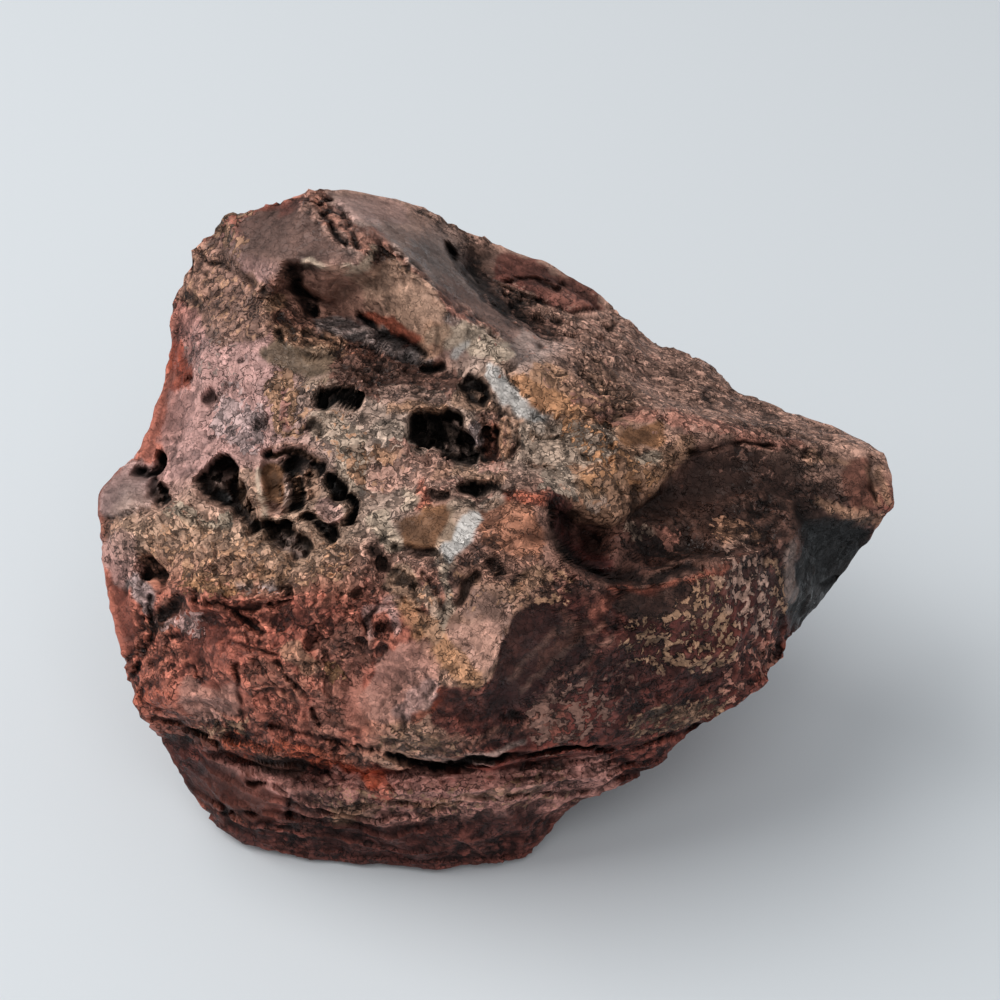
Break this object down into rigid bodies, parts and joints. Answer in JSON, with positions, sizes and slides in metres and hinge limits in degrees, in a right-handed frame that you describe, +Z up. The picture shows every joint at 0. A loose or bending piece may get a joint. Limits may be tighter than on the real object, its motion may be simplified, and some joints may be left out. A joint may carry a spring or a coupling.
{
  "type": "rough jasper stone",
  "caption": "Rough broken piece of dark red jasper with a porous pale band, pits and ledges, resting on a small flat spot.",
  "frame": {"origin": "under the middle of the stone's box, on the surface that it rests on", "axes": "+Z up as the stone lies, +X toward its pointed end, -Y toward its show side"},
  "size_m": [0.0616, 0.0422, 0.0414],
  "materials": {
    "jasper": "dark red broken stone, dull with smoother glossy scars"
  },
  "bodies": {
    "root": {"stone": "jasper"}
  },
  "joints": []
}
